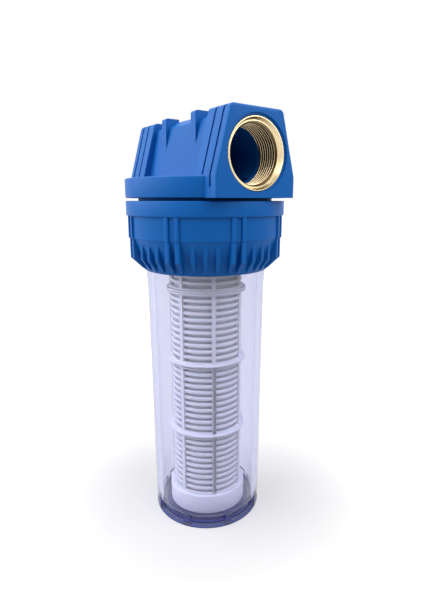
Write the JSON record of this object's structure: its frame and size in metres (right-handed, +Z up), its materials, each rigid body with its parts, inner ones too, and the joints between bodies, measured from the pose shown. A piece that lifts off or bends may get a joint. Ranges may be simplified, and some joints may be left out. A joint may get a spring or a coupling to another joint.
{
  "type": "water sediment filter",
  "caption": "Water filter housing: ported head with brass threaded inserts, ribbed ring nut, clear bowl and a slotted cage cartridge with a woven sleeve.",
  "frame": {"origin": "centre of the bowl's foot, on the surface it stands on", "axes": "+Z up along the cartridge; +X along the port axis, out of the inlet; the head is symmetric about the XZ plane"},
  "size_m": [0.126, 0.122, 0.3197],
  "materials": {
    "blue_plastic": "satin moulded polypropylene",
    "brass": "machined",
    "clear_plastic": "clear gloss with a faint lavender tint",
    "white_plastic": "satin",
    "woven_screen": "fine woven screen",
    "rubber_seal": "matt"
  },
  "bodies": {
    "head": {"head": "blue_plastic", "inlet_thread_insert": "brass", "outlet_thread_insert": "brass"},
    "bowl": {"bowl": "clear_plastic", "bowl_seal": "rubber_seal", "cage_end_lower": "white_plastic", "cage_end_upper": "white_plastic", "cage_section_1": "white_plastic", "cage_section_2": "white_plastic", "cage_section_3": "white_plastic", "cage_section_4": "white_plastic", "filter_mesh": "woven_screen", "core_tube": "white_plastic", "lower_gasket": "rubber_seal", "upper_gasket": "rubber_seal"},
    "nut": {"ring_nut": "blue_plastic"}
  },
  "joints": [
    {"name": "bowl_drop", "type": "slide", "parent": "head", "child": "bowl", "axis": [0, 0, -1], "range_m": [0, 0.024]},
    {"name": "nut_turn", "type": "hinge", "parent": "bowl", "child": "nut", "pos_m": [0, 0, 0.233], "axis": [0, 0, -1], "range_deg": [0, 1440]}
  ],
  "couplings": [
    {"joint": "bowl_drop", "follows": "nut_turn", "m_per_rad": 0.0009549}
  ]
}
